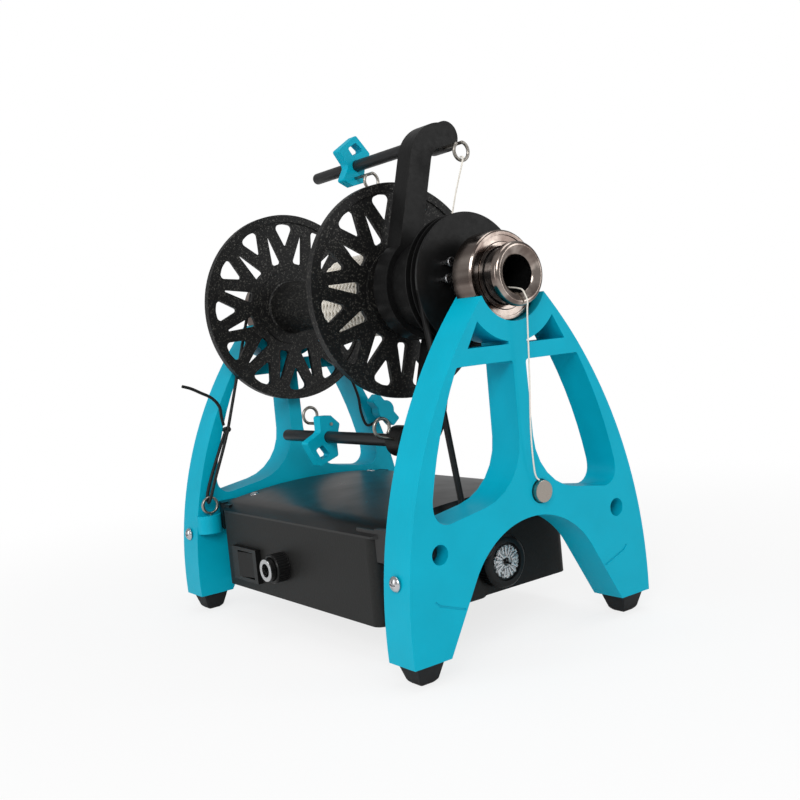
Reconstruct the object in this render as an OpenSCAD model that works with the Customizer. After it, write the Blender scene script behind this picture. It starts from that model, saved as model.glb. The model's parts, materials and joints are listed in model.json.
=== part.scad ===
// Electric yarn spinner: two A-shaped uprights on a control box carry a driven flyer and its bobbin.
// Millimetres. The feet stand at z = 0, the spindle runs along Y, and the orifice faces -Y.

/* [Stand] */
// Height of the spindle axis above the table
axis_h = 132.5; // [126:0.5:165]
// Clear distance between the two uprights
upright_gap = 141.5; // [120:0.5:175]
// Thickness of each upright
upright_t = 14.3; // [13.5:0.1:18]
// Distance from the centre to the outside of each leg
stance = 58; // [56:0.5:72]
// How tightly the outside of a leg is bowed, where 1 is one plain arc up to the horn
leg_bow = 0.926; // [0.85:0.002:0.97]
// Width of the centre post between the windows
post_w = 6; // [4:0.5:10]
// Height of the cross bar under the cradle
bar_t = 5.8; // [4:0.1:9]
// Radius of the arch between the legs
arch_r = 33; // [26:0.5:36]
// Height of the rubber feet
foot_h = 8; // [5:0.5:12]

/* [Bearings] */
// Bore of both ball bearings
bearing_bore = 20; // [19:0.5:22]
// Outer diameter of both ball bearings
bearing_d = 32; // [31:0.5:34]
// Width of both ball bearings
bearing_w = 10; // [8:0.5:10.5]
// Number of balls in a bearing
ball_count = 13; // [9:1:14]
// Diameter of the balls
ball_d = 3.5; // [3:0.1:3.8]

/* [Flyer] */
// Distance from the spindle axis to the rods
rod_orbit = 59.7; // [56:0.1:64]
// Diameter of the flyer rods
rod_d = 5; // [4:0.1:6]
// Width of a flyer arm
arm_w = 9.8; // [8:0.1:13]
// Thickness of the flyer arms
arm_t = 8.5; // [7:0.1:11]
// Distance of a straight arm from the centre line
arm_offset = 10.7; // [9.5:0.1:13]
// Lean of the flyer as it rests, in degrees
flyer_lean = 15.2; // [0:0.1:360]
// Diameter of the belt whorl
whorl_d = 50; // [46:0.5:56]
// Diameter of the spindle rod
spindle_d = 8; // [6:0.5:9]
// Inner diameter of the orifice
orifice_d = 13.3; // [10:0.1:14]
// Wire diameter of the hooks
hook_wire = 1.3; // [1.2:0.1:2]
// Radius of the hooks' rings, to the wire's centre
hook_r = 3.5; // [3:0.1:4.5]

/* [Bobbin] */
// Diameter of the bobbin's discs
disc_d = 85.4; // [76:0.2:96]
// Thickness of the bobbin's discs
disc_t = 3.5; // [2.5:0.1:5]
// Diameter of the bobbin's core
core_d = 23; // [20:0.5:28]
// Number of cut-outs round a disc
cutouts = 12; // [8:1:13]
// Diameter of the brake groove's bottom
brake_groove_d = 36.8; // [30:0.2:44]
// Diameter of the wound yarn
yarn_d = 2; // [1.4:0.1:2.2]
// Loops of yarn in view on the core
yarn_loops = 11; // [4:1:14]

/* [Drive] */
// Diameter of the round belt
belt_d = 2.4; // [1.8:0.1:2.5]
// Radius of the belt's centre line on the motor pulley
pulley_belt_r = 4.4; // [3.8:0.1:5.2]
// Diameter of the motor
motor_d = 24.4; // [20:0.1:24.6]
// Length of the motor's can
motor_l = 30.8; // [25:0.1:60]

/* [Control box] */
// Width of the control box
box_w = 95; // [90:0.5:100]
// Height of the box's underside above the table
box_z = 12.9; // [10:0.1:15]
// Height of the parting line between box and lid
parting_z = 45; // [44:0.1:48]
// Wall thickness of box and lid
wall = 2.2; // [1.8:0.1:3]
// Rise of the lid's crown
crown = 3.5; // [1:0.1:4.5]
// Diameter of the speed knob
knob_d = 20.6; // [16:0.1:21]

/* [Cords] */
// Diameter of the brake cord
cord_d = 1.4; // [1:0.1:1.6]
// Diameter of the leader line
line_d = 0.9; // [0.6:0.1:1.2]

/* [Hidden] */
$fn = 64;

// Clearances
fit = 0.02;
running = 0.05;
gap = 0.3;

// Places along Y, from the front face of the front upright
rear_y = upright_t + upright_gap;
back_y = rear_y + upright_t;
bearing_lip = 0.65;
bearing_y = upright_t - bearing_w - bearing_lip;
rear_bearing_y = rear_y + bearing_lip;
ring_front = -4.5;
belt_y = 23.5;
groove_w = 2.7;
rim_w = 0.5;
whorl_y = belt_y - groove_w / 2 - rim_w;
whorl_t = 2 * groove_w + 3 * rim_w;
hub_y = whorl_y + whorl_t;
arm_y = 46.5;
arm_back = arm_y + arm_t;
tube_end = 33.5;
rod_socket = arm_y + 2;
spindle_front = tube_end + 10;
spindle_end = back_y - 1;
bobbin_y = arm_back + 8;
brake_w = 2.8;
brake_end = disc_t / 2 + brake_w;
bobbin_back = rear_y - 0.4;
rear_disc_y = bobbin_back - brake_w - disc_t;
rods_end = rear_disc_y - 8;
box_front = 33;
lid_front = 30;
box_back = rear_y - 6.3;
front_reach = ring_front - gap;
y_mid = (front_reach + back_y) / 2;

// The leg's outline: an arc up from the foot, then the tangent to the horn
leg_z = foot_h - 0.5;
bow_z = leg_z + 7;
horn_x = bearing_d / 2 + 1.6;
horn_z = axis_h - 5;
horn_top = axis_h - 4.2;
bow_run = stance - horn_x;
bow_rise = horn_z - bow_z;
leg_r = leg_bow * (bow_run * bow_run + bow_rise * bow_rise) / (2 * bow_run);
leg_centre = [stance - leg_r, bow_z];
horn = [horn_x, horn_z];
horn_reach = norm(horn - leg_centre);
touch_angle = atan2(bow_rise, horn_x - leg_centre.x) - acos(leg_r / horn_reach);
touch = leg_centre + leg_r * [cos(touch_angle), sin(touch_angle)];
flank = (horn - touch) / norm(horn - touch);
flank_low = touch - 6 * flank;

// Half the stand's width at height z
function edge_x(z) = z > touch.y
    ? touch.x + (z - touch.y) * flank.x / flank.y
    : leg_centre.x + sqrt(leg_r * leg_r - (z - bow_z) * (z - bow_z));

arch_z = bow_z - 0.2;
arch_foot = [stance - 15.7, leg_z];
arch_out = norm(arch_foot - [0, arch_z]);
arch_angle = atan2(leg_z - arch_z, arch_foot.x) + acos(arch_r / arch_out);
arch_touch = [arch_r * cos(arch_angle), arch_z + arch_r * sin(arch_angle)];
bar_z = axis_h - 23.9;
window_top = bar_z - bar_t;
web_z = arch_z + arch_r + 9.9;
web_bend = 22;
wall_top = 3.6;
wall_low = 7.6;
screw_x = 43.2;
screw_z = 42.6;
side_screw_z = 35.1;
mid_t = upright_t / 2;
crease = 0.35;
crease_line = [[46.9, 27.5], [45.2, 25.9], [34.4, 22.2]];
cradle_r = bearing_d / 2 + 0.1;
cradle_lip = bearing_d / 2 - 1.5;
socket_head_r = 3.4;

// Bearing insides
pitch_r = (bearing_bore + bearing_d) / 4;
race_in = pitch_r - 1.2;
race_out = pitch_r + 1.2;
ball_track = ball_d / 2 + running;

// Flyer, seen with one arm straight up
tube_r = bearing_bore / 2 - fit;
ring_r = tube_r + 1.2;
ring_t = 3;
ring_roll = 1.4;
ring_seat = 1.6;
hub_r = 17.5;
root_r = 20;
bend_z = rod_orbit - arm_offset;
head_r = 6;
exit_y = 38;
exit_r = 4;
whorl_r = whorl_d / 2;
belt_r = whorl_r - 2;
groove_r = belt_r - belt_d / 2 - gap;
whorl_screw_r = 13.6;
whorl_screw_angles = [150, 176, 330, 356];

// Guides: Y of their middles, and how far in and ahead their hooks stand
upper_guide_y = rods_end - 31;
lower_guide_y = rods_end - 35;
guide_t = 5;
guide_in = 8;
guide_reach = 15;
upper_hook_z = rod_orbit - 4.6;
upper_hook_y = 36;
lower_hook_y = arm_y + 4;
lower_hook_x = 11.4;

// Bobbin
rim_r = disc_d / 2;
petal_out = rim_r - 5;
petal_in = rim_r - 15.4;
petal_w = 10.4;
drop_in = core_d / 2 + 9;
drop_out = rim_r - 6.2;
drop_w = 5;
web_recess = 0.8;
core_wall = 2;
bush_l = 12;
winding_y = bobbin_y + disc_t + 1.6;
yarn_pitch = yarn_d + 0.6;
winding_l = yarn_pitch * yarn_loops + 2 * yarn_d;
bed_r = core_d / 2 + 3.4;
winding_r = bed_r + yarn_d / 2 + gap;

// Drive
motor_x = -6.2;
motor_z = 36.5;
pulley_flange_r = pulley_belt_r + 1.8;
pulley_root_r = pulley_belt_r - belt_d / 2 - gap;
pulley_t = groove_w + 4 * rim_w;
pulley_y = belt_y - pulley_t / 2;
shaft_r = 1;
motor_screw_angles = [60, 240];
motor_y = box_front + wall + 0.3;
belt_run = [motor_x, motor_z - axis_h];
belt_span = norm(belt_run);
belt_tilt = atan2(belt_run.x, -belt_run.y);
belt_wrap = asin((belt_r - pulley_belt_r) / belt_span);
belt_free = sqrt(belt_span * belt_span - (belt_r - pulley_belt_r) * (belt_r - pulley_belt_r));

// Control box
half_w = box_w / 2;
corner_f = 4;
corner_r = 5;
slant_w = half_w - 5.5;
slant_z = parting_z + 4;
crown_r = (slant_w * slant_w + crown * crown) / (2 * crown);
ear_x = half_w - 11;
ear_z = screw_z - 6;
ear_top = slant_z - 0.5;
lid_screw_x = 32;
lid_screw_y = box_back - 4.5;
lid_screw_z = slant_z + crown - crown_r + sqrt(crown_r * crown_r - lid_screw_x * lid_screw_x) - 0.4;
switch_y = box_back - 22.8;
switch_z = 24.4;
switch_w = 21;
switch_h = 14.4;
switch_proud = 2.4;
rocker_w = 12.4;
rocker_h = 10.8;
rocker_y = switch_y - 1.2;
jack_y = box_back - 52;
jack_z = 27;
jack_r = 4.6;
jack_out = 8.5;
knob_x = 8;
knob_z = 26;
knob_y = 25;
knob_r = knob_d / 2;
pot_shaft_r = 3;
pot_r = 5.2;
pad_t = 3.6;
pad_x = 1;
pad_left = -half_w + 12;
board_x = 8;
board_y = box_back - 50;
board_z = 22;
board_w = 50;
board_l = 40;

// Cords and what they are tied to, in x, y and height over the axis
cord_y = rear_y - 1.6;
eye_at = [-stance + 7.5, rear_y - 3.2, 47.9];
eye_boss_r = 5.6;
eye_boss_z = 35.5;
eye_boss_top = eye_at.z - hook_r - hook_wire / 2 - gap;
knot_at = [-37.6, cord_y, -52.7];
knot_r = 2.2;
stud_at = [46, -54];
stud_r = 1.5;
spool_r = 3;
brake_r = brake_groove_d / 2 + gap + cord_d / 2;
magnet_at = [4.7, 55.5];
magnet_r = 4;
magnet_t = 3;
magnet_sunk = 1.2;

// Moves the frame of the pieces' places, whose Y starts at the front face, to the part's own middle
module at_y(y) translate([0, y - y_mid, 0]) children();
// A flat piece from y to y + t, drawn in x and z
module slab(y, t) at_y(y + t) rotate([90, 0, 0]) linear_extrude(t) children();
// A turned piece about a line along Y, drawn as radius and distance behind y
module turned(x, y, z) translate([x, y - y_mid, z]) rotate([-90, 0, 0]) rotate_extrude() children();
module turned_on_axis(y) turned(0, y, axis_h) children();
// A round bar along Y
module bar_y(x, y, z, r, l) translate([x, y - y_mid, z]) rotate([-90, 0, 0]) cylinder(r = r, h = l);
module bar_x(x, y, z, r, l) translate([x, y - y_mid, z]) rotate([0, 90, 0]) cylinder(r = r, h = l);
module bar_z(x, y, z, r, l) translate([x, y - y_mid, z]) cylinder(r = r, h = l);
module block(x, y, z, size) translate([x, y - y_mid, z]) cube(size);
module on_axis_2d() translate([0, axis_h]) children();
// Pieces of the flyer, drawn with the upper arm straight up
module on_flyer(y, t, turn = 0) at_y(y + t) translate([0, 0, axis_h]) rotate([0, flyer_lean + turn, 0])
    rotate([90, 0, 0]) linear_extrude(t) children();
module in_flyer(turn = 0) translate([0, -y_mid, axis_h]) rotate([0, flyer_lean + turn, 0]) children();

// An outline whose corners [x, y, radius] are rounded off
function arc_corner(a, b, c) =
    let (p = [b.x, b.y], u = [a.x, a.y] - p, v = [c.x, c.y] - p,
        un = u / norm(u), vn = v / norm(v), half = acos(un * vn) / 2,
        mid = (un + vn) / norm(un + vn), centre = p + mid * b[2] / sin(half),
        from = atan2((p + un * b[2] / tan(half) - centre).y, (p + un * b[2] / tan(half) - centre).x),
        to = atan2((p + vn * b[2] / tan(half) - centre).y, (p + vn * b[2] / tan(half) - centre).x),
        turn = to - from > 180 ? to - from - 360 : (to - from < -180 ? to - from + 360 : to - from),
        steps = max(2, ceil(abs(turn) / 15)))
    [for (i = [0:steps]) centre + b[2] * [cos(from + turn * i / steps), sin(from + turn * i / steps)]];
function softened(pts) = [for (i = [0:len(pts) - 1])
    each (pts[i][2] > 0
        ? arc_corner(pts[(i + len(pts) - 1) % len(pts)], pts[i], pts[(i + 1) % len(pts)])
        : [[pts[i].x, pts[i].y]])];

// A cord: one tube swept along points, squared to a line of reference that it never follows
function heading(p, i) = let (d = p[min(i + 1, len(p) - 1)] - p[max(i - 1, 0)]) d / norm(d);
function cord_ring(p, i, r, sides, ref) =
    let (t = heading(p, i), s = cross(ref, t) / norm(cross(ref, t)), u = cross(t, s))
    [for (k = [0:sides - 1]) p[i] + r * (cos(360 * k / sides) * s + sin(360 * k / sides) * u)];
module cord(p, r, sides, ref) {
    last = (len(p) - 1) * sides;
    polyhedron(
        points = [for (i = [0:len(p) - 1]) each cord_ring(p, i, r, sides, ref)],
        faces = [
            for (i = [0:len(p) - 2], k = [0:sides - 1])
                let (a = i * sides + k, b = i * sides + (k + 1) % sides)
                each [[a, a + sides, b], [b, a + sides, b + sides]],
            for (k = [1:sides - 2]) each [[0, k, k + 1], [last, last + k + 1, last + k]]
        ]);
}
// Points along a smooth curve through the route's own points
function spline(p, i, t) =
    let (a = p[max(i - 1, 0)], b = p[i], c = p[min(i + 1, len(p) - 1)], d = p[min(i + 2, len(p) - 1)])
    b + t * (c - a) / 2 + t * t * (a - 2.5 * b + 2 * c - d / 2) + t * t * t * (1.5 * (b - c) + (d - a) / 2);
function smooth(p, steps) = [
    for (i = [0:len(p) - 2], k = [0:steps - 1]) spline(p, i, k / steps),
    p[len(p) - 1]];

// ---------------------------------------------------------------- uprights

module upright_outline() {
    half = [[0, leg_z], [stance + 12, leg_z], [stance + 12, (leg_z + flank_low.y) / 2], flank_low,
        horn, [horn.x, horn_top], [0, horn_top]];
    for (side = [0, 1]) mirror([side, 0]) intersection() {
        polygon(half);
        translate(leg_centre) circle(r = leg_r, $fn = 256);
    }
}

module arch() {
    translate([0, arch_z]) circle(r = arch_r, $fn = 128);
    polygon([[-arch_touch.x, arch_touch.y], arch_touch, arch_foot, [arch_foot.x, leg_z - 1],
        [-arch_foot.x, leg_z - 1], [-arch_foot.x, leg_z]]);
}

// Inner side of the leg beside the large window, thicker towards the foot
function window_wall(z) = wall_top + (wall_low - wall_top) * (window_top - z) / (window_top - web_z);

module large_window() {
    steps = 6;
    low_z = web_z - 6.5;
    first_z = web_z + 3;
    polygon(softened(concat(
        [[post_w / 2, window_top, 1.2], [post_w / 2 + 0.5, web_z, web_bend],
            [edge_x(low_z) - wall_low - 1.8, low_z, 6]],
        [for (i = [0:steps - 1]) let (z = first_z + (window_top - first_z) * i / steps)
            [edge_x(z) - window_wall(z), z, 0]],
        [[edge_x(window_top) - wall_top, window_top, 1.2]])));
}

module small_window() {
    top = axis_h - 12;
    difference() {
        polygon([[4.3, bar_z], [edge_x(bar_z) - 5.8, bar_z], [edge_x(top) - 5.8, top], [4.3, top]]);
        on_axis_2d() circle(r = cradle_r + 7.2, $fn = 128);
    }
}

module upright_2d() difference() {
    upright_outline();
    on_axis_2d() circle(r = cradle_lip, $fn = 128);
    arch();
    for (side = [0, 1]) mirror([side, 0]) {
        large_window();
        small_window();
    }
}

// An upright with its outer face at y = 0 of its own and its inner face at y = upright_t
module upright() difference() {
    slab(0, upright_t) upright_2d();
    bar_y(0, -1, axis_h, cradle_r, bearing_y + bearing_w + 1);
    for (side = [-1, 1]) {
        bar_y(side * screw_x, -1, screw_z, socket_head_r, 9);
        bar_y(side * screw_x, -1, screw_z, 1.6, upright_t + 2);
        bar_x(side > 0 ? stance - 14 : -stance - 1, mid_t, side_screw_z, 1.3, 15);
        mirror([side < 0 ? 1 : 0, 0, 0]) for (i = [0, 1]) crease_cut(crease_line[i], crease_line[i + 1]);
    }
}

// Fine score line across the front of a leg
module crease_cut(from, to) {
    run = to - from;
    at_y(0) translate([from.x, 0, from.y]) rotate([0, -atan2(run.y, run.x), 0])
        translate([0, -crease, -crease]) cube([norm(run), 2 * crease, 2 * crease]);
}

module front_upright() color("darkturquoise") difference() {
    upright();
    bar_y(magnet_at.x, -1, magnet_at.y, magnet_r + 0.4, 1 + magnet_sunk);
}

module rear_upright() color("darkturquoise") difference() {
    union() {
        translate([0, back_y - 2 * y_mid, 0]) mirror([0, 1, 0]) upright();
        eye_boss();
        slab(rear_y, 5) translate([stud_at.x, axis_h + stud_at.y]) circle(r = 4.6);
    }
    bar_y(stud_at.x, rear_y - 1, axis_h + stud_at.y, stud_r + fit, 9);
    bar_z(eye_at.x, eye_at.y, eye_at.z - hook_r - 7, hook_wire / 2 + fit, 10);
}

// Oval boss for the screw eye on the inside of the left rear leg
module eye_boss() intersection() {
    bar_z(eye_at.x, rear_y, eye_boss_z, eye_boss_r, eye_boss_top - eye_boss_z);
    block(eye_at.x - 6, rear_y - 6, 0, [12, 7, axis_h]);
}

module rubber_feet() color("black") for (side = [-1, 1], y = [mid_t, rear_y + mid_t]) foot(side, y);

module foot(side, y) {
    x = side * (stance - 8);
    top_w = 11.6;
    low_w = 6.6;
    side_view = [[-top_w / 2, foot_h - 0.5], [-low_w / 2 - 0.6, 1.2], [-low_w / 2 + 0.8, 0],
        [low_w / 2 - 0.8, 0], [low_w / 2 + 0.6, 1.2], [top_w / 2, foot_h - 0.5]];
    translate([x, y - y_mid, 0]) intersection() {
        translate([0, top_w / 2, 0]) rotate([90, 0, 0]) linear_extrude(top_w) polygon(side_view);
        translate([-top_w / 2, 0, 0]) rotate([90, 0, 90]) linear_extrude(top_w) polygon(side_view);
    }
}

// Socket head cap screws, sunk in the uprights and threaded into the lid's ears
module cap_screws() color("dimgray") for (side = [-1, 1], rear = [0, 1])
    translate([side * screw_x, (rear ? back_y : 0) - y_mid, screw_z]) rotate([rear ? 90 : -90, 0, 0])
        translate([0, 0, 5]) difference() {
            union() {
                cylinder(r = 2.75, h = 3);
                translate([0, 0, 3]) cylinder(r = 1.5, h = 11);
            }
            translate([0, 0, -1]) cylinder(r = 1.45, h = 2.8, $fn = 6);
        }

module leg_screws() color("silver") for (side = [-1, 1], y = [mid_t, rear_y + mid_t])
    translate([side * (edge_x(side_screw_z) + 0.4), y - y_mid, side_screw_z]) rotate([0, side * 90, 0]) {
        difference() {
            intersection() {
                cylinder(r = 2.7, h = 1.6);
                translate([0, 0, -1.6]) sphere(r = 3.4);
            }
            for (turn = [0, 90]) rotate(turn) translate([-1.5, -0.3, 0.9]) cube([3, 0.6, 2]);
        }
        translate([0, 0, -9]) cylinder(r = 1.25, h = 9);
    }

// ---------------------------------------------------------------- control box

// Plan of the box: round corners, larger in front
module plan(inset, front) {
    x = half_w - inset;
    rf = corner_f - inset;
    rr = corner_r - inset;
    y0 = front + inset - y_mid;
    y1 = box_back - inset - y_mid;
    translate([-x, y0 + rf]) square([2 * x, y1 - rr - y0 - rf]);
    translate([-x + rf, y0]) square([2 * (x - rf), y1 - y0]);
    translate([-x + rr, y1 - rr - 1]) square([2 * (x - rr), rr + 1]);
    for (side = [-1, 1]) {
        translate([side * (x - rf), y0 + rf]) circle(r = rf);
        translate([side * (x - rr), y1 - rr]) circle(r = rr);
    }
}

module box_shell() color([0.13, 0.13, 0.14]) difference() {
    union() {
        difference() {
            translate([0, 0, box_z]) linear_extrude(parting_z - box_z) plan(0, box_front);
            translate([0, 0, box_z + wall]) linear_extrude(parting_z) plan(wall, box_front);
        }
        front_pad();
        for (x = [-1, 1], y = [-1, 1])
            bar_z(board_x + x * (board_w / 2 - 4), board_y + y * (board_l / 2 - 4), box_z + 1, 3,
                board_z - box_z - 1);
    }
    bar_y(motor_x, box_front - 6, motor_z, 3.2, 10);
    for (a = motor_screw_angles)
        bar_y(motor_x + 8 * cos(a), box_front - 6, motor_z + 8 * sin(a), 1.35, 10);
    bar_y(knob_x, box_front - 1, knob_z, 3.6, 6);
    block(-half_w - 1, switch_y - 9.25, switch_z - 6.35, [wall + 2, 18.5, 12.7]);
    bar_x(-half_w - 1, jack_y, jack_z, jack_r + fit, wall + 2);
}

// Raised pad in front of the motor, hollowed round the speed knob
module front_pad() slab(box_front - pad_t, pad_t + 1) difference() {
    polygon(softened([[pad_left, box_z + 0.6, 2], [pad_x, box_z + 0.6, 3],
        [pad_x, parting_z - 3, 3], [pad_left, parting_z - 3, 2]]));
    translate([knob_x, knob_z]) circle(r = knob_r + 1.4);
}

module lid_profile(drop) {
    intersection() {
        polygon([[-half_w + drop, parting_z - 1], [half_w - drop, parting_z - 1],
            [half_w - drop, parting_z + 0.8], [slant_w - drop, slant_z], [slant_w - drop, slant_z + 8],
            [-slant_w + drop, slant_z + 8], [-slant_w + drop, slant_z], [-half_w + drop, parting_z + 0.8]]);
        translate([0, slant_z + crown - crown_r - drop]) circle(r = crown_r, $fn = 256);
    }
}

module box_lid() color([0.09, 0.09, 0.1]) difference() {
    union() {
        difference() {
            intersection() {
                translate([0, 0, parting_z]) linear_extrude(20) plan(0, lid_front);
                slab(lid_front - 1, box_back - lid_front + 2) lid_profile(0);
            }
            intersection() {
                translate([0, 0, parting_z - 1]) linear_extrude(20) plan(wall, lid_front);
                slab(lid_front, box_back - lid_front) lid_profile(wall);
            }
        }
        for (side = [-1, 1]) ears(side);
        for (side = [-1, 1], y = [box_front + 16, box_back - 11])
            bar_z(side * (half_w - 9), y, parting_z, 3, 4);
    }
    for (side = [-1, 1]) {
        bar_y(side * screw_x, 0, screw_z, 1.5 + fit, 20.5);
        bar_y(side * screw_x, box_back - 3, screw_z, 1.5 + fit, 12);
        bar_z(side * lid_screw_x, lid_screw_y, slant_z - 3, 1.2 + fit, 12);
        bar_z(side * lid_screw_x, lid_screw_y, lid_screw_z, 2.2 + fit, 5);
    }
    bar_z(eye_at.x, rear_y, ear_z - 1, eye_boss_r + gap, ear_top);
}

// Ears of the lid that reach the uprights and take their screws
module ears(side) {
    x = side > 0 ? ear_x : -half_w + 1.5;
    w = half_w - 1.5 - ear_x;
    block(x, upright_t, ear_z, [w, box_front - 0.2 - upright_t, ear_top - ear_z]);
    block(x, box_front - 1, parting_z, [w, 12, ear_top - parting_z - 0.6]);
    block(x, box_back + 0.2, ear_z, [w, rear_y - box_back - 0.2, ear_top - ear_z]);
    block(x, box_back - 6, parting_z, [w, 7, ear_top - parting_z - 0.6]);
}

module lid_screws() color("silver") for (side = [-1, 1])
    translate([side * lid_screw_x, lid_screw_y - y_mid, lid_screw_z]) {
        intersection() {
            cylinder(r = 2.2, h = 1.1);
            translate([0, 0, -2.1]) sphere(r = 3.2);
        }
        translate([0, 0, -4]) cylinder(r = 1.2, h = 4.1);
    }

// ---------------------------------------------------------------- switch and power jack

module switch_bezel() color([0.1, 0.1, 0.11]) difference() {
    union() {
        block(-half_w - switch_proud, switch_y - switch_w / 2, switch_z - switch_h / 2,
            [switch_proud, switch_w, switch_h]);
        block(-half_w, switch_y - 9.2, switch_z - 6.3, [15, 18.4, 12.6]);
    }
    block(-half_w - switch_proud - 1, rocker_y - rocker_w / 2 - gap, switch_z - rocker_h / 2 - gap,
        [10.6, rocker_w + 2 * gap, rocker_h + 2 * gap]);
    bar_z(-half_w + 0.6, rocker_y, switch_z - rocker_h / 2 - 0.65, 1 + running, rocker_h + 1.3);
}

// Rocker on its own pivot pin, tipped with its rear half out
module power_rocker() color([0.16, 0.16, 0.17]) {
    lip = rocker_w / 2;
    translate([-half_w + 0.6, rocker_y - y_mid, switch_z - rocker_h / 2]) {
        linear_extrude(rocker_h) polygon([[4.6, -2], [4.6, 2], [0.4, lip - 0.3], [-4, lip - 1],
            [-3, 0], [-2.2, -lip + 0.3], [0.4, -lip + 0.3]]);
        translate([0, 0, -0.6]) cylinder(r = 1, h = rocker_h + 1.2);
    }
}

module jack_barrel() color([0.12, 0.12, 0.12]) translate([-half_w, jack_y - y_mid, jack_z])
    rotate([0, -90, 0]) difference() {
        translate([0, 0, -12]) cylinder(r = jack_r, h = 12 + jack_out - 0.6);
        translate([0, 0, -9]) cylinder(r = 3.2, h = 30);
    }

module jack_nut() color([0.1, 0.1, 0.1]) translate([-half_w, jack_y - y_mid, jack_z])
    rotate([0, -90, 0]) difference() {
        cylinder(r = 5.9, h = jack_out - 2.5);
        translate([0, 0, -1]) cylinder(r = jack_r + fit, h = jack_out);
    }

module jack_contact() color("silver") translate([-half_w, jack_y - y_mid, jack_z])
    rotate([0, -90, 0]) {
        difference() {
            translate([0, 0, jack_out - 0.6]) cylinder(r = jack_r - 0.1, h = 0.6);
            translate([0, 0, jack_out - 2]) cylinder(r = 2.75, h = 4);
        }
        difference() {
            translate([0, 0, -9]) cylinder(r = 3.2 - fit, h = jack_out + 8.4);
            translate([0, 0, -8]) cylinder(r = 2.75, h = 30);
        }
        translate([0, 0, -8.5]) cylinder(r = 1, h = jack_out + 6);
    }

module speed_board() color("darkgreen") {
    translate([board_x, board_y - y_mid, board_z]) {
        translate([-board_w / 2, -board_l / 2, 0]) cube([board_w, board_l, 1.6]);
        for (y = [-11, 1]) translate([-14, y, 1.6]) cylinder(r = 5, h = 12);
        translate([4, -8, 1.6]) cube([14, 6, 12]);
        translate([4, 8, 1.6]) cube([16, 8, 7]);
    }
}

// ---------------------------------------------------------------- speed control

module potentiometer() color("slategray") {
    difference() {
        union() {
            bar_y(knob_x, box_front + wall, knob_z, pot_r, 9);
            bar_y(knob_x, box_front - 1.8, knob_z, 3.5, 5);
        }
        bar_y(knob_x, box_front - 8, knob_z, pot_shaft_r + running, 17);
    }
}

module pot_shaft() color("silver") difference() {
    bar_y(knob_x, knob_y + 3.5, knob_z, pot_shaft_r, 13);
    translate([knob_x, knob_y + 3.5 - y_mid, knob_z]) rotate([0, 45, 0]) cube([8, 3, 0.9], center = true);
}

module speed_knob() color([0.12, 0.12, 0.12]) difference() {
    turned(knob_x, knob_y, knob_z) polygon([[0, 0.9], [knob_r - 3.4, 0.9], [knob_r - 3, 0],
        [knob_r - 1.2, 0], [knob_r, 1.4], [knob_r, 5.6], [0, 5.6]]);
    bar_y(knob_x, knob_y - 1, knob_z, 6.3 + fit, 3.5);
    bar_y(knob_x, knob_y - 1, knob_z, pot_shaft_r + fit, 12);
}

// Bright toothed disc let into the knob's face, with a slot across it
module knob_insert() color("silver") difference() {
    slab(knob_y + 0.4, 2.1) translate([knob_x, knob_z]) difference() {
        circle(r = 6.3);
        circle(r = 1.6);
        for (turn = [0:20:340]) rotate(turn) translate([6.3, 0]) circle(r = 0.45, $fn = 16);
        rotate(-32) square([14, 0.8], center = true);
    }
}

// ---------------------------------------------------------------- motor and belt

module motor_can() color("silver") difference() {
    union() {
        bar_y(motor_x, motor_y, motor_z, motor_d / 2, motor_l);
        bar_y(motor_x, motor_y - 1.6, motor_z, 3, 2);
    }
    bar_y(motor_x, motor_y - 4, motor_z, shaft_r + running, motor_l - 4);
    for (a = motor_screw_angles)
        bar_y(motor_x + 8 * cos(a), motor_y - 1, motor_z + 8 * sin(a), 1.25 + fit, 4);
}

module motor_screws() color("silver") for (a = motor_screw_angles) {
    x = motor_x + 8 * cos(a);
    z = motor_z + 8 * sin(a);
    bar_y(x, box_front - pad_t - 1.4, z, 2.2, 1.4);
    bar_y(x, box_front - pad_t, z, 1.25, pad_t + wall + 3);
}

module motor_shaft() color("silver")
    bar_y(motor_x, pulley_y - 1, motor_z, shaft_r, motor_y + 12 - pulley_y);

module motor_pulley() color([0.15, 0.15, 0.15]) turned(motor_x, pulley_y, motor_z) {
    flange = 2 * rim_w;
    polygon([[shaft_r + fit, 0], [pulley_flange_r - 0.4, 0], [pulley_flange_r, 0.4],
        [pulley_flange_r, flange], [pulley_root_r, flange + 0.1], [pulley_root_r, pulley_t - flange - 0.1],
        [pulley_flange_r, pulley_t - flange], [pulley_flange_r, pulley_t], [shaft_r + fit, pulley_t]]);
}

// Round belt: two arcs joined by the tangents
module drive_belt() color([0.08, 0.08, 0.08])
    translate([0, belt_y - y_mid, axis_h]) rotate([90, 0, 0]) rotate(belt_tilt) {
        rotate(-belt_wrap) rotate_extrude(angle = 180 + 2 * belt_wrap) translate([belt_r, 0])
            circle(d = belt_d, $fn = 32);
        translate([0, -belt_span]) rotate(180 + belt_wrap) rotate_extrude(angle = 180 - 2 * belt_wrap)
            translate([pulley_belt_r, 0]) circle(d = belt_d, $fn = 32);
        for (side = [0, 1]) mirror([side, 0]) rotate(-belt_wrap) translate([belt_r, 0, 0])
            rotate([90, 0, 0]) cylinder(d = belt_d, h = belt_free, $fn = 32);
    }

// ---------------------------------------------------------------- bearings

module outer_race(y) turned_on_axis(y) difference() {
    r = bearing_d / 2;
    polygon([[race_out, 0], [r - 0.6, 0], [r, 0.6], [r, bearing_w - 0.6], [r - 0.6, bearing_w],
        [race_out, bearing_w]]);
    translate([pitch_r, bearing_w / 2]) circle(r = ball_track);
}

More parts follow.
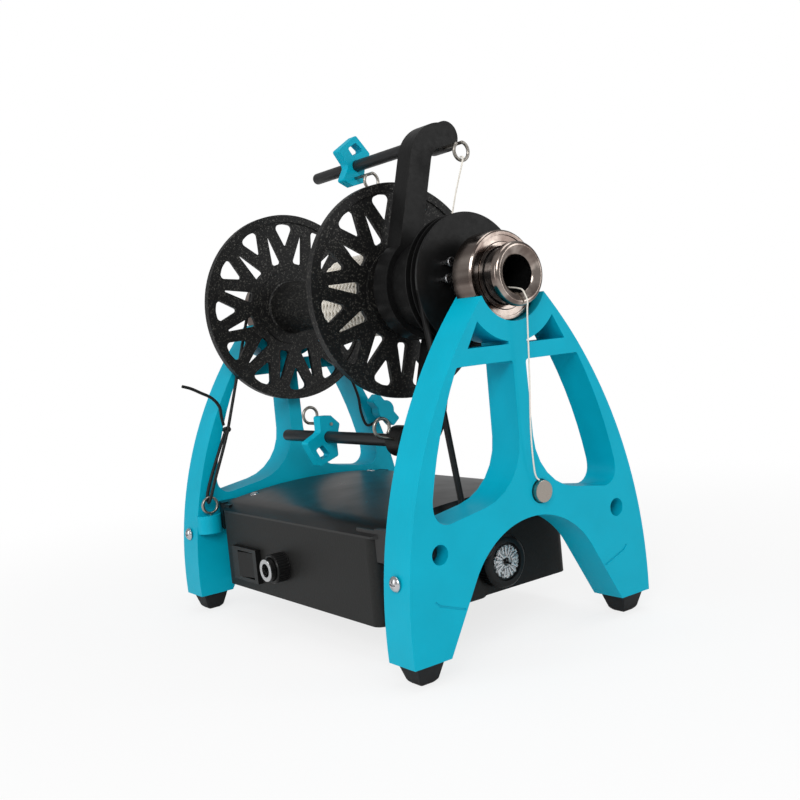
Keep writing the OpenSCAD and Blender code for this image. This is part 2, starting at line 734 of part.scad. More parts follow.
module inner_race(y) turned_on_axis(y) difference() {
    polygon([[bearing_bore / 2, 0.4], [bearing_bore / 2 + 0.4, 0], [race_in, 0], [race_in, bearing_w],
        [bearing_bore / 2 + 0.4, bearing_w], [bearing_bore / 2, bearing_w - 0.4]]);
    translate([pitch_r, bearing_w / 2]) circle(r = ball_track);
}

module balls(y) for (i = [0:ball_count - 1]) translate([0, y + bearing_w / 2 - y_mid, axis_h])
    rotate([0, 360 * i / ball_count, 0]) translate([pitch_r, 0, 0]) sphere(d = ball_d);

module front_outer_race() color([0.62, 0.55, 0.5]) outer_race(bearing_y);
module rear_outer_race() color([0.62, 0.55, 0.5]) outer_race(rear_bearing_y);
module front_inner_race() color([0.7, 0.66, 0.62]) inner_race(bearing_y);
module rear_inner_race() color([0.7, 0.66, 0.62]) inner_race(rear_bearing_y);
module front_balls() color("silver") balls(bearing_y);
module rear_balls() color("silver") balls(rear_bearing_y);

module bearing_shields() color([0.5, 0.46, 0.42]) for (y = [bearing_y, rear_bearing_y], back = [0, 1])
    turned_on_axis(y + (back ? bearing_w - 0.8 : 0.4)) polygon([[race_in + 0.25, 0], [race_out - fit, 0],
        [race_out - fit, 0.4], [race_in + 0.25, 0.4]]);

// ---------------------------------------------------------------- flyer

// Hub that fits the spindle rod to the rear bearing, with a flange in front of the inner race
module rear_hub() color([0.14, 0.14, 0.14]) {
    flange = bearing_lip;
    l = flange + bearing_w + 1.6;
    bore = spindle_d / 2 + fit;
    turned_on_axis(rear_bearing_y - flange) polygon([[bore, 0], [race_in - 0.4, 0],
        [race_in - 0.4, flange - 0.1], [tube_r, flange - 0.1], [tube_r, l - 0.6], [tube_r - 0.6, l],
        [bore, l]]);
}

module spindle_rod() color("silver") turned_on_axis(spindle_front) polygon([
    [0, 0], [spindle_d / 2, 0], [spindle_d / 2, spindle_end - spindle_front - 0.8],
    [spindle_d / 2 - 0.8, spindle_end - spindle_front], [0, spindle_end - spindle_front]]);

// Black tube that carries the flyer in the front bearing and lets the yarn in
module orifice_tube() color([0.12, 0.12, 0.13]) turned_on_axis(ring_front + ring_seat) polygon([
    [orifice_d / 2 + 1, 0], [tube_r, 0], [tube_r, tube_end - ring_front - ring_seat],
    [orifice_d / 2 + 1, tube_end - ring_front - ring_seat]]);

// Polished ring with a rolled mouth, seated on the tube's front end
module orifice_ring() color([0.75, 0.68, 0.62]) turned_on_axis(ring_front) difference() {
    union() {
        translate([ring_r - ring_roll, ring_roll]) circle(r = ring_roll);
        translate([ring_r - 2.2, ring_roll]) square([2.2, ring_t - ring_roll]);
        polygon([[orifice_d / 2, ring_seat - 0.05], [orifice_d / 2 + 1.2, 0.7], [ring_r - ring_roll, 0],
            [ring_r - ring_roll, ring_seat - 0.05]]);
    }
    translate([0, ring_seat]) square([tube_r + fit, ring_t]);
}

module flyer_whorl() color([0.13, 0.13, 0.14]) difference() {
    turned_on_axis(whorl_y) difference() {
        translate([tube_r + fit, 0]) square([whorl_r - tube_r - fit, whorl_t]);
        for (y = [rim_w, 2 * rim_w + groove_w]) polygon([[whorl_r + 1, y - 0.1], [groove_r, y + 0.12],
            [groove_r, y + groove_w - 0.12], [whorl_r + 1, y + groove_w + 0.1]]);
    }
    for (a = whorl_screw_angles) in_whorl(a) bar_local(whorl_y - 1, 0.9 + fit, 6);
}

module in_whorl(a) translate([whorl_screw_r * cos(a), 0, axis_h + whorl_screw_r * sin(a)]) children();
module bar_local(y, r, l) translate([0, y - y_mid, 0]) rotate([-90, 0, 0]) cylinder(r = r, h = l);

module whorl_screws() color("silver") for (a = whorl_screw_angles) in_whorl(a) {
    bar_local(whorl_y - 4.4, 1.7, 1.6);
    bar_local(whorl_y - 2.9, 0.9, 7.6);
}

// One arm in outline: straight up beside the centre, then a quarter turn over to the rod
module arm_2d() {
    inner = arm_offset - arm_w / 2;
    outer = arm_offset + arm_w / 2;
    translate([-outer, 0]) square([arm_w, bend_z]);
    translate([0, bend_z]) intersection() {
        difference() {
            circle(r = outer);
            circle(r = inner);
        }
        translate([-outer, 0]) square([outer, outer]);
    }
    translate([0, rod_orbit]) circle(r = head_r);
}

module flyer_arms() color([0.11, 0.11, 0.12]) difference() {
    union() {
        on_flyer(arm_y, arm_t) {
            circle(r = root_r, $fn = 96);
            for (turn = [0, 180]) rotate(turn) arm_2d();
        }
        bar_y(0, hub_y, axis_h, hub_r, arm_y - hub_y + 1);
    }
    bar_y(0, hub_y - 1, axis_h, tube_r + fit, tube_end - hub_y + 1);
    bar_y(0, hub_y, axis_h, orifice_d / 2 + 1, spindle_front - hub_y - 0.5);
    bar_y(0, hub_y, axis_h, spindle_d / 2 + fit, 40);
    in_flyer() translate([0, exit_y, -hub_r - 1]) cylinder(r = exit_r, h = 2 * hub_r + 2);
    for (a = whorl_screw_angles) in_whorl(a) bar_local(hub_y - 1, 0.9 + fit, 5);
    for (turn = [0, 180]) {
        in_flyer(turn) translate([0, rod_socket, rod_orbit]) rotate([-90, 0, 0])
            cylinder(r = rod_d / 2 + fit, h = 20);
    }
    in_flyer() translate([0, arm_y - 1, upper_hook_z]) rotate([-90, 0, 0])
        cylinder(d = hook_wire + 2 * fit, h = 2.6);
    in_flyer(180) translate([head_r - 3, lower_hook_y, rod_orbit]) rotate([0, 90, 0])
        cylinder(d = hook_wire + 2 * fit, h = 5);
}

// The lower rod is the shorter one
module flyer_rods() color([0.1, 0.1, 0.1]) for (turn = [0, 180]) {
    l = rods_end - rod_socket - (turn ? 2 : 0);
    in_flyer(turn) translate([0, rod_socket + 0.1, rod_orbit]) rotate([-90, 0, 0]) rotate_extrude()
        polygon(concat([[0, 0], [rod_d / 2, 0]], rod_tip(l), [[0, l]]));
}

// Rounded end of a rod of the given length
function rod_tip(l) = [for (a = [0:15:75])
    [rod_d / 2 - 1.2 + 1.2 * cos(a), l - 1.2 + 1.2 * sin(a)]];

// ---------------------------------------------------------------- hooks

// Open wire ring whose plane faces along Y, with its gap at the given angle
module wire_ring(from, sweep) rotate([-90, 0, 0]) rotate(from) rotate_extrude(angle = sweep)
    translate([hook_r, 0]) circle(d = hook_wire, $fn = 24);

module arm_hooks() color("silver") {
    in_flyer() {
        translate([0, upper_hook_y, upper_hook_z - hook_r]) wire_ring(-90, 310);
        translate([0, upper_hook_y, upper_hook_z]) rotate([-90, 0, 0])
            cylinder(d = hook_wire, h = arm_y + 1.4 - upper_hook_y, $fn = 24);
        translate([0, upper_hook_y, upper_hook_z]) sphere(d = hook_wire, $fn = 24);
    }
    in_flyer(180) {
        translate([lower_hook_x, lower_hook_y, rod_orbit - hook_r]) wire_ring(-90, 300);
        translate([head_r - 2.8, lower_hook_y, rod_orbit]) rotate([0, 90, 0])
            cylinder(d = hook_wire, h = lower_hook_x - head_r + 2.8, $fn = 24);
        translate([lower_hook_x, lower_hook_y, rod_orbit]) sphere(d = hook_wire, $fn = 24);
    }
}

// Thin yarn from the hub's exit hole up to the front hook
module flyer_thread() color("ivory") in_flyer()
    cord([[0, exit_y, 12], [0.2, exit_y - 0.3, hub_r + 2], [0.4, exit_y - 1, 34],
        [0.2, upper_hook_y - 1.3, upper_hook_z - 2 * hook_r - 0.8],
        [0.2, upper_hook_y - 1.15, upper_hook_z - 2 * hook_r + 1],
        [0.2, upper_hook_y + 0.4, upper_hook_z - 2 * hook_r + 1.4]], line_d / 3, 8, [1, 0, 0]);

// ---------------------------------------------------------------- yarn guides

// Waisted plate across the rod: a tilted square with a window outwards, a smaller wing inwards
module guide_2d() difference() {
    polygon(softened([[-10.6, 4, 1], [-2.8, 13, 1], [5.8, 7.2, 1], [4, 1.2, 2], [4.4, -6.4, 1],
        [-0.6, -guide_in - 1.2, 0], [-6.2, -guide_in, 1], [-4.4, -1.4, 2]]));
    polygon(softened([[-5.8, 6.2, 0.8], [-2.4, 9.8, 0.8], [2, 7.6, 0.8], [-2.8, 3.7, 0.8]]));
}

module guide(turn, y, flip) in_flyer(turn) translate([0, y + guide_t / 2, rod_orbit]) difference() {
    rotate([90, 0, 0]) linear_extrude(guide_t) mirror([flip, 0]) guide_2d();
    translate([0, -20, 0]) rotate([-90, 0, 0]) cylinder(r = rod_d / 2 + running, h = 40);
    translate([0, -20, -guide_in + 2.4]) rotate([-90, 0, 0]) cylinder(d = hook_wire + 2 * fit, h = 40);
}

module guide_hook(turn, y, ahead) in_flyer(turn) translate([0, y, rod_orbit - guide_in + 2.4]) {
    reach = ahead * guide_reach;
    tail = guide_t / 2 + 0.5;
    translate([0, min(reach, -ahead * tail), 0]) rotate([-90, 0, 0])
        cylinder(d = hook_wire, h = guide_reach + tail, $fn = 24);
    translate([0, reach, 0]) sphere(d = hook_wire, $fn = 24);
    translate([0, reach, -hook_r]) wire_ring(-90, 300);
}

module upper_guide() color("darkturquoise") guide(0, upper_guide_y, 0);
module lower_guide() color("darkturquoise") guide(180, lower_guide_y, 1);
module upper_guide_hook() color("silver") guide_hook(0, upper_guide_y, -1);
module lower_guide_hook() color("silver") guide_hook(180, lower_guide_y, 1);

// ---------------------------------------------------------------- bobbin

module petal_2d() polygon(softened([[petal_in, 0, 1], [petal_out, -petal_w / 2, 1.8],
    [petal_out + 1, 0, 6], [petal_out, petal_w / 2, 1.8]]));
module drop_2d() polygon(softened([[drop_in, -drop_w / 2, 1.2], [drop_out, 0, 0.4],
    [drop_in, drop_w / 2, 1.2]]));

module disc_2d() difference() {
    circle(r = rim_r, $fn = 128);
    for (i = [0:cutouts - 1]) rotate(360 * i / cutouts) {
        petal_2d();
        rotate(180 / cutouts) drop_2d();
    }
}

// A disc, thinner between its rim and the boss on both faces
module disc(y, turn) difference() {
    at_y(y + disc_t) translate([0, 0, axis_h]) rotate([90, turn, 0]) linear_extrude(disc_t) disc_2d();
    for (side = [-1, disc_t - web_recess]) turned_on_axis(y + side) translate([core_d / 2 + 5.5, 0])
        square([rim_r - 3.4 - core_d / 2 - 5.5, 1 + web_recess]);
}
module disc_bore(y) bar_y(0, y - 1, axis_h, core_d / 2 - core_wall, disc_t + brake_w + 2);

module bobbin_front_disc() color([0.1, 0.1, 0.1]) difference() {
    disc(bobbin_y, 21);
    disc_bore(bobbin_y);
}

// The rear disc has the spool for the brake cord on its back
module bobbin_rear_disc() color([0.1, 0.1, 0.1]) difference() {
    union() {
        disc(rear_disc_y, 1);
        turned_on_axis(rear_disc_y + disc_t / 2) polygon([[0, 0], [brake_groove_d / 2, 0],
            [brake_groove_d / 2, brake_end - 0.5], [brake_groove_d / 2 - 0.5, brake_end], [0, brake_end]]);
    }
    disc_bore(rear_disc_y);
}

module bobbin_core() color([0.08, 0.08, 0.08]) turned_on_axis(bobbin_y + disc_t) difference() {
    l = rear_disc_y - bobbin_y - disc_t;
    polygon([[core_d / 2 - core_wall, 0], [core_d / 2 + 1, 0], [core_d / 2, 1], [core_d / 2, l - 1],
        [core_d / 2 + 1, l], [core_d / 2 - core_wall, l]]);
}

// Two turned bushes on which the bobbin runs on the spindle
module bobbin_bushes() color("burlywood") {
    r = core_d / 2 - core_wall - fit;
    bore = spindle_d / 2 + running;
    nose = bobbin_y - arm_back - gap;
    nose_r = 7;
    turned_on_axis(arm_back + gap) polygon([[bore, 0], [nose_r, 0], [nose_r, nose], [r, nose],
        [r, nose + bush_l], [bore, nose + bush_l]]);
    turned_on_axis(bobbin_back - bush_l) polygon([[bore, 0], [r, 0], [r, bush_l], [nose_r, bush_l],
        [nose_r, bush_l + 0.2], [bore, bush_l + 0.2]]);
}

// Inner layers of the yarn, and the outer layer as one unbroken helix
module yarn_bed() color("ivory") turned_on_axis(winding_y) polygon([[core_d / 2 + fit, 0],
    [bed_r, 1], [bed_r, winding_l - 1], [core_d / 2 + fit, winding_l]]);

function winding_point(a) = [winding_r * cos(a), yarn_d + yarn_pitch * a / 360, winding_r * sin(a)];
winding_path = [for (k = [0:24 * yarn_loops]) winding_point(15 * k)];
winding_gap = min([for (i = [0:24], j = [24 + i - 4:24 + i + 4])
    norm(winding_path[i] - winding_path[j])]) - yarn_d;
echo(least_gap_of_the_winding = winding_gap);

module yarn_winding() color("floralwhite") translate([0, winding_y - y_mid, axis_h])
    cord(winding_path, yarn_d / 2, 6, [0, 1, 0]);

// ---------------------------------------------------------------- brake

// The brake cord: a loop from the knot through the screw eye, and one strand over the groove to the peg
eye_loop = [[-38, 0.7, -53.2], [-42.4, 0.7, -62], [-48, 0.7, -74], [-50.4, 0.5, -80.6],
    [-51.2, -1.8, -83.2], [-50.3, -3.4, -80.2], [-47, -2.6, -73], [-41.2, -1.5, -61],
    [-37.3, -0.7, -52.4]];
peg_turn = [[32, 0, -35.5], [35.4, 0, -46], [36.2, 0, -54], [38.6, 0, -60.5], [43, 0, -60.4],
    [46, 0, -58.3]];
over_groove = [for (a = [18:9:162]) [-brake_r * cos(a), 0, brake_r * sin(a)]];
cord_strand = concat([[-37.9, 0, -53.4]], over_groove, smooth(peg_turn, 2));

module brake_cord() color([0.07, 0.07, 0.07]) translate([0, cord_y - y_mid, axis_h]) {
    cord(smooth(eye_loop, 2), cord_d / 2, 8, [0.86, 0, -0.5]);
    cord(cord_strand, cord_d / 2, 8, [0, 1, 0]);
    translate([knot_at.x, 0, knot_at.z]) sphere(r = knot_r, $fn = 12);
}

tail_route = [[-38.9, 0, -50.2], [-40, -1, -46.5], [-41, -2, -41.6], [-44.6, -3, -37.4],
    [-50, -3.6, -34.4], [-54.6, -4, -32], [-58.6, -4.2, -30.6]];

module brake_tail() color([0.07, 0.07, 0.07]) difference() {
    translate([0, cord_y - y_mid, axis_h]) cord(smooth(tail_route, 2), cord_d / 2, 8, [0, 1, 0]);
    translate([knot_at.x, cord_y - y_mid, axis_h + knot_at.z]) sphere(r = knot_r + 0.02, $fn = 24);
}

module screw_eye() color("silver") translate([eye_at.x, eye_at.y - y_mid, eye_at.z]) {
    rotate([90, 0, 0]) rotate_extrude() translate([hook_r, 0]) circle(d = hook_wire, $fn = 24);
    translate([0, 0, -hook_r - 6.6]) cylinder(d = hook_wire, h = 6.6, $fn = 24);
}

// Steel stud with a spool for the cord, screwed into the right rear leg
module tension_stud() color("silver") translate([0, 0, axis_h + stud_at.y]) {
    bar_local_at(stud_at.x, rear_y - 9, stud_r, 16.5);
    bar_local_at(stud_at.x, rear_y - 3.2, spool_r, 2.9);
}

module bar_local_at(x, y, r, l) translate([x, y - y_mid, 0]) rotate([-90, 0, 0]) cylinder(r = r, h = l);

// Winged knob that turns on the stud
module tension_knob() color("darkturquoise") difference() {
    slab(rear_y - 9.6, 6) translate([stud_at.x, axis_h + stud_at.y]) {
        circle(r = 4.8);
        rotate(-50) polygon(softened([[-8.8, -2.8, 1], [8.8, -2.8, 1], [8.8, 2.8, 1], [-8.8, 2.8, 1]]));
    }
    translate([0, 0, axis_h + stud_at.y]) bar_local_at(stud_at.x, rear_y - 8.6 - 0.7, stud_r + running, 12);
}

// ---------------------------------------------------------------- leader line and magnet

line_out = ring_front - line_d / 2 - gap;
leader_route = [[-2.2, 8, -3.4], [0.4, 2.5, -4.3], [0.8, ring_front + 1.5, -5.4],
    [0.9, ring_front - 0.1, -7.3], [1, line_out - 0.2, -10], [1, line_out + 0.5, -15],
    [0.6, line_out + 1.6, -35], [-0.2, line_out + 2.6, -55], [0.6, line_out + 3.3, -69.2],
    [2.6, line_out + 3.5, -72.6]];

module leader_line() color("ivory") translate([0, -y_mid, axis_h])
    cord(smooth(leader_route, 3), line_d / 2, 8, [1, 0, 0]);

module parking_magnet() color("silver")
    bar_y(magnet_at.x, magnet_sunk - magnet_t, magnet_at.y, magnet_r, magnet_t);

front_upright();
rear_upright();
rubber_feet();
cap_screws();
leg_screws();
box_shell();
box_lid();
lid_screws();
switch_bezel();
power_rocker();
jack_barrel();
jack_nut();
jack_contact();
speed_board();
potentiometer();
pot_shaft();
speed_knob();
knob_insert();
motor_can();
motor_screws();
motor_shaft();
motor_pulley();
drive_belt();
front_outer_race();
front_balls();
front_inner_race();
bearing_shields();
rear_outer_race();
rear_balls();
rear_inner_race();
rear_hub();
spindle_rod();
orifice_tube();
orifice_ring();
flyer_whorl();
whorl_screws();
flyer_arms();
flyer_rods();
arm_hooks();
flyer_thread();
upper_guide();
upper_guide_hook();
lower_guide();
lower_guide_hook();
bobbin_front_disc();
bobbin_rear_disc();
bobbin_core();
bobbin_bushes();
yarn_bed();
yarn_winding();
brake_cord();
brake_tail();
screw_eye();
tension_stud();
tension_knob();
leader_line();
parking_magnet();
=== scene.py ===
# Electric yarn spinner in metres: two teal uprights on a black control box carry a flyer and its bobbin.
# The feet stand at z = 0, the spindle runs along Y, and the orifice faces -Y.
import json
import math

import bmesh
import bpy
from mathutils import Matrix, Vector

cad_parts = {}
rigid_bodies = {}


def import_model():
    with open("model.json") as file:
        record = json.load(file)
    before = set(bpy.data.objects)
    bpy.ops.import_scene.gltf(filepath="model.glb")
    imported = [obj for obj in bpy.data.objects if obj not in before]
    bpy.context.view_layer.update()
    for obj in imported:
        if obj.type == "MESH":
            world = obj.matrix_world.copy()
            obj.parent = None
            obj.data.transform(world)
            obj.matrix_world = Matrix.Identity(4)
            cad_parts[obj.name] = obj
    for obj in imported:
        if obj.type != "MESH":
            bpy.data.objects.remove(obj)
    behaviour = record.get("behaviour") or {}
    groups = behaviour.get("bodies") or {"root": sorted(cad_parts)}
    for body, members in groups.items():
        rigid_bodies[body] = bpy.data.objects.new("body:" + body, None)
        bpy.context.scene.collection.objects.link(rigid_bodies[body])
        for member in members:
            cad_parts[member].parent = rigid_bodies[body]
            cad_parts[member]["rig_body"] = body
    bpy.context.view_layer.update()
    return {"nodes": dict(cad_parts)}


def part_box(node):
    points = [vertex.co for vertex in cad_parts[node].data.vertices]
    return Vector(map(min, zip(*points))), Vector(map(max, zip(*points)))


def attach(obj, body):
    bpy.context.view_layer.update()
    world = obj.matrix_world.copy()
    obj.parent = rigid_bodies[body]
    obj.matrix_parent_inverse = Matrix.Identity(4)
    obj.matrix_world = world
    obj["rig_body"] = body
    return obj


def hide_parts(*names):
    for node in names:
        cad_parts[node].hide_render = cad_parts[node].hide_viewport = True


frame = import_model()
scene = bpy.context.scene
scene.view_settings.view_transform = "Standard"

# ---------------------------------------------------------------- camera
# It stands low, in front of the machine and to its left, held slightly askew as in the photograph.
swing, dip, askew = (math.radians(angle) for angle in (-36.505, 4.007, -5.6186))
back = Vector((math.sin(swing) * math.cos(dip), -math.cos(swing) * math.cos(dip), math.sin(dip)))
level = Vector((0, 0, 1)).cross(back).normalized()
upright = back.cross(level)
right = math.cos(askew) * level + math.sin(askew) * upright
up = math.cos(askew) * upright - math.sin(askew) * level
camera = bpy.data.objects.new("camera", bpy.data.cameras.new("camera"))
camera_at = (-0.243604, -0.339735, 0.117437)
camera_axes = Matrix((right, up, back)).transposed().to_4x4()
camera.matrix_world = Matrix.Translation(camera_at) @ camera_axes
camera.data.lens = 45.366
camera.data.clip_start = 0.02
scene.collection.objects.link(camera)
scene.camera = camera


# ---------------------------------------------------------------- studio
# A pale floor that keeps the machine's shadow and runs out to plain white, under large soft lamps.
class Socket:
    """An output of a material's node.

    Python's operators add Math nodes to it, and node() adds any other.
    """

    def __init__(self, tree, output):
        self.tree, self.output = tree, output

    def node(self, kind, settings, sockets, output=0):
        added = self.tree.nodes.new("ShaderNode" + kind)
        for name, value in settings.items():
            setattr(added, name, value)
        for name, value in sockets.items():
            if isinstance(value, Socket):
                self.tree.links.new(value.output, added.inputs[name])
            else:
                added.inputs[name].default_value = value
        return Socket(self.tree, added.outputs[output])

    def math(self, operation, a, b=0.0):
        return self.node("Math", {"operation": operation}, {0: a, 1: b})

    def __add__(self, other):
        return self.math("ADD", self, other)

    def __rsub__(self, other):
        return self.math("SUBTRACT", other, self)

    def __mul__(self, other):
        return self.math("MULTIPLY", self, other)

    __radd__, __rmul__ = __add__, __mul__


def from_to(value, low, high):
    """0 where value is at low, 1 where it is at high, and smooth between them."""
    return value.node("MapRange", {"interpolation_type": "SMOOTHSTEP"}, {"Value": value, 1: low, 2: high})


floor_paint = bpy.data.materials.new("pale_floor")
floor_paint.use_nodes = True
floor_tree = floor_paint.node_tree
floor_shader = floor_tree.nodes["Principled BSDF"]
floor_shader.inputs["Base Color"].default_value = (0.9, 0.9, 0.9, 1)
floor_shader.inputs["Roughness"].default_value = 0.9
floor_shader.inputs["Specular IOR Level"].default_value = 0.1
place = Socket(floor_tree, floor_tree.nodes.new("ShaderNodeTexCoord").outputs["Object"])
far_off = from_to(place.node("VectorMath", {"operation": "LENGTH"}, {0: place}, 1), 0.1, 0.42)
seen = place.node("LightPath", {}, {}, 0)
plain = seen * (far_off * 0.22 + 0.78)
white = place.node("Emission", {}, {"Color": (1, 1, 1, 1), "Strength": 1.0})
mixed = place.node("MixShader", {}, {0: plain, 1: Socket(floor_tree, floor_shader.outputs[0]), 2: white})
floor_tree.links.new(mixed.output, floor_tree.nodes["Material Output"].inputs["Surface"])
slab = bmesh.new()
bmesh.ops.create_grid(slab, x_segments=1, y_segments=1, size=6)
floor = bpy.data.objects.new("floor", bpy.data.meshes.new("floor"))
slab.to_mesh(floor.data)
slab.free()
floor.data.materials.append(floor_paint)
scene.collection.objects.link(floor)

scene.world = bpy.data.worlds.new("studio")
scene.world.use_nodes = True
sky = scene.world.node_tree
background = sky.nodes["Background"]
ray = Socket(sky, sky.nodes.new("ShaderNodeLightPath").outputs["Is Camera Ray"])
bounce = ray.node("LightPath", {}, {}, 3)
level_of_light = ray.math("MAXIMUM", ray, bounce * 0.3)
sky.links.new(level_of_light.math("MAXIMUM", level_of_light, 0.4).output, background.inputs["Strength"])
background.inputs["Color"].default_value = (1, 1, 1, 1)
lamps_aim = Vector((0, 0, 0.1))


def soft_lamp(name, place, size, power):
    """A rectangular lamp, in metres and watts, that points at the middle of the machine."""
    lamp = bpy.data.objects.new(name, bpy.data.lights.new(name, "AREA"))
    lamp.data.shape = "RECTANGLE"
    lamp.data.size, lamp.data.size_y = size
    lamp.data.energy = power
    lamp.location = place
    lamp.rotation_euler = (Vector(place) - lamps_aim).to_track_quat("Z", "Y").to_euler()
    scene.collection.objects.link(lamp)


soft_lamp("key_lamp", (-0.75, -0.8, 0.7), (0.6, 0.5), 7.0)
soft_lamp("side_lamp", (-1.0, 0.3, 0.35), (0.3, 0.7), 2.2)
soft_lamp("top_lamp", (0.1, -0.1, 1.1), (0.7, 0.5), 3.0)
soft_lamp("right_lamp", (0.7, -0.9, 0.4), (0.25, 0.6), 1.4)


# ---------------------------------------------------------------- uprights
# Two alike A-frames, printed flat in teal plastic: fine layers run round their sides.
def finish(name, colour, roughness, plain=None):
    """A new material and the coordinates that its pattern is drawn on.

    Its plain values go on the shader's own sockets.
    """
    made = bpy.data.materials.new(name)
    made.use_nodes = True
    shader = made.node_tree.nodes["Principled BSDF"]
    shader.inputs["Base Color"].default_value = (*colour, 1)
    shader.inputs["Roughness"].default_value = roughness
    for socket, value in (plain or {}).items():
        shader.inputs[socket].default_value = value
    return made, Socket(made.node_tree, made.node_tree.nodes.new("ShaderNodeTexCoord").outputs["Object"])


def drawn(made, patterns):
    """Links patterns to the material's shader sockets."""
    shader = made.node_tree.nodes["Principled BSDF"]
    for socket, value in patterns.items():
        made.node_tree.links.new(value.output, shader.inputs[socket])


def noise(place, scale, detail=2.0, stretch=(1, 1, 1)):
    stretched = place.node("Mapping", {}, {"Vector": place, "Scale": stretch})
    return place.node("TexNoise", {}, {"Vector": stretched, "Scale": scale, "Detail": detail})


def tint(share, first, second):
    return share.node("Mix", {"data_type": "RGBA"}, {0: share, 6: (*first, 1), 7: (*second, 1)}, 2)


def bump(height, distance, strength=1.0):
    return height.node("Bump", {}, {"Strength": strength, "Distance": distance, "Height": height})


merge_within = 0.000002
flat_angle = math.radians(0.4)
corner_angle = math.radians(32)
crease_angle = math.radians(42)


def rounded(shape, edges, by, steps):
    """Rounds edges of a bmesh."""
    bmesh.ops.bevel(shape, geom=edges, offset=by, offset_type="OFFSET", segments=steps, profile=0.5,
                    affect="EDGES", clamp_overlap=True, material=-1)


def smoothed(piece):
    """Smooth shading that stays flat on flat faces and breaks at sharp edges."""
    piece.data.shade_smooth()
    piece.data.set_sharp_from_angle(angle=crease_angle)
    even = piece.modifiers.new("even_normals", "WEIGHTED_NORMAL")
    even.keep_sharp = True


def placed(piece, made, body):
    """Gives a new piece its material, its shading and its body."""
    piece.data.materials.clear()
    piece.data.materials.append(made)
    smoothed(piece)
    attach(piece, body)


def eased(node, edge, made, steps=2):
    """Stands in for a CAD node: a copy of its mesh, merged, with its sharp edges rounded by edge.

    Where edges lie closer than that, all of the node's edges are rounded by as little as those allow.
    """
    source = frame["nodes"][node]
    piece = bpy.data.objects.new(node + "_made", source.data.copy())
    scene.collection.objects.link(piece)
    for attribute in [a.name for a in piece.data.attributes if a.name == "custom_normal"]:
        piece.data.attributes.remove(piece.data.attributes[attribute])
    shape = bmesh.new()
    shape.from_mesh(piece.data)
    bmesh.ops.remove_doubles(shape, verts=shape.verts, dist=merge_within)
    bmesh.ops.dissolve_limit(shape, angle_limit=flat_angle, verts=shape.verts, edges=shape.edges)
    if edge:
        corners = [e for e in shape.edges if e.is_manifold and e.calc_face_angle() > corner_angle]
        rounded(shape, corners, edge, steps)
    shape.to_mesh(piece.data)
    shape.free()
    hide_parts(node)
    placed(piece, made, source["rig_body"])


teal_print, place = finish("teal_print", (0.0, 0.4, 0.56), 0.42, {"Specular IOR Level": 0.13})
layers = noise(place, 1.0, 2.0, (25, 1500, 25))
cloudy = noise(place, 60.0, 3.0)
drawn(teal_print, {
    "Base Color": tint(cloudy, (0.0, 0.36, 0.5), (0.0, 0.44, 0.61)),
    "Roughness": noise(place, 300.0) * 0.12 + 0.34,
    "Normal": bump(layers + noise(place, 900.0) * 0.4, 0.00008, 0.6),
})
for node in ("front_upright", "rear_upright"):
    eased(node, 0.0014, teal_print, 4)

# ---------------------------------------------------------------- feet
# Tapered rubber blocks, moulded square and glued under the legs.
black_rubber, place = finish("black_rubber", (0.009, 0.009, 0.01), 0.6, {"Specular IOR Level": 0.3})
drawn(black_rubber, {
    "Roughness": noise(place, 500.0) * 0.2 + 0.52,
    "Normal": bump(noise(place, 1200.0), 0.00008, 0.5),
})
eased("rubber_feet", 0.0005, black_rubber)

# ---------------------------------------------------------------- stand screws
# Black socket head screws sunk in the uprights, and small bright pan heads on the legs' outer sides.
black_steel, place = finish("black_steel", (0.016, 0.016, 0.017), 0.4, {"Metallic": 0.3})
drawn(black_steel, {
    "Roughness": noise(place, 700.0) * 0.25 + 0.25,
    "Normal": bump(noise(place, 900.0), 0.00004, 0.4),
})
bright_steel, place = finish("bright_steel", (0.56, 0.56, 0.57), 0.26, {"Metallic": 1.0})
drawn(bright_steel, {
    "Base Color": tint(noise(place, 400.0), (0.46, 0.46, 0.47), (0.66, 0.66, 0.67)),
    "Roughness": noise(place, 700.0, 2.0) * 0.16 + 0.18,
})
eased("cap_screws", 0.0002, black_steel)
eased("leg_screws", 0.00015, bright_steel)

# ---------------------------------------------------------------- control box
# A moulded box: its shell has a fine spark-eroded grain, and its lid is smooth and shiny.
grained, place = finish("box_grain", (0.012, 0.012, 0.012), 0.5, {"Specular IOR Level": 0.22})
grain = noise(place, 1300.0, 2.0)
drawn(grained, {
    "Base Color": tint(grain, (0.007, 0.007, 0.007), (0.02, 0.02, 0.019)),
    "Roughness": grain * 0.2 + 0.4,
    "Normal": bump(grain, 0.00012, 0.5),
})
glossy, place = finish("lid_gloss", (0.006, 0.006, 0.006), 0.3, {
    "Specular IOR Level": 0.35, "Coat Weight": 0.06, "Coat Roughness": 0.1})
drawn(glossy, {
    "Roughness": noise(place, 90.0, 3.0) * 0.14 + 0.24,
    "Normal": bump(noise(place, 45.0), 0.0003, 0.15),
})
eased("box_shell", 0.0006, grained)
eased("box_lid", 0.0007, glossy, 3)
eased("lid_screws", 0.00015, bright_steel)

# ---------------------------------------------------------------- switch
# A rocker in a satin bezel, snapped into the left wall.
satin_black, place = finish("satin_black", (0.006, 0.006, 0.006), 0.34, {"Specular IOR Level": 0.25})
drawn(satin_black, {
    "Roughness": noise(place, 600.0) * 0.16 + 0.26,
    "Normal": bump(noise(place, 1400.0), 0.00004, 0.4),
})
eased("switch_bezel", 0.0005, satin_black, 3)
eased("power_rocker", 0.0005, satin_black, 3)

# ---------------------------------------------------------------- power jack
# A threaded barrel held by a nut, with a bright sleeve and pin.
eased("jack_barrel", 0.0002, satin_black)
ridge_depth = 0.0003
ridge_points = 6


